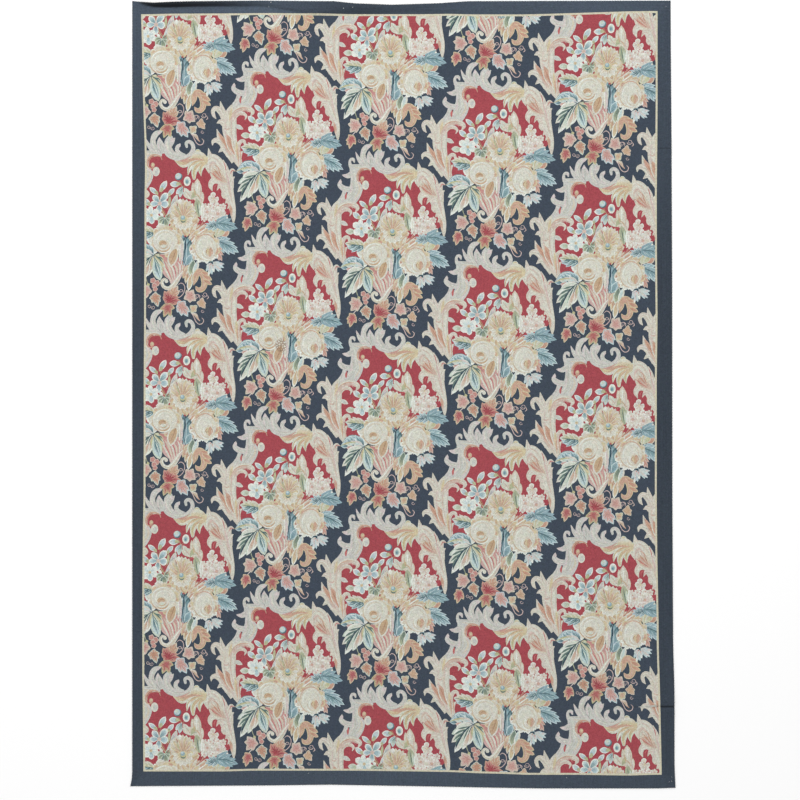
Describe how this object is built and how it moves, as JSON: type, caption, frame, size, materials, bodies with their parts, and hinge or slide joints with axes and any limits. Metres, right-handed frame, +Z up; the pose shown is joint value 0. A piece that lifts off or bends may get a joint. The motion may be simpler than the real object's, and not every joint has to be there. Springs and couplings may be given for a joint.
{
  "type": "flat floral needlework rug",
  "caption": "Large flat rectangular rug of stitched wool with an all-over floral repeat, a thin cream guard stripe and a plain slate border, lying flat with one rim curled.",
  "frame": {"origin": "middle of the rug, on the surface it lies on", "axes": "+Z up out of the rug's face, +X across its width, +Y along its length towards the end with the curled rim"},
  "size_m": [2.764, 3.994, 0.022],
  "materials": {
    "rug_wool": "matt stitched wool, slate border round a navy field with flowers and leaves in cream, rose, gold and teal",
    "rim_wool": "matt dark wool yarn, overcast along the turned rim",
    "canvas_back": "matt undyed canvas underside with the stitches' backs showing through"
  },
  "bodies": {
    "root": {"rug": "rug_wool"}
  },
  "joints": []
}
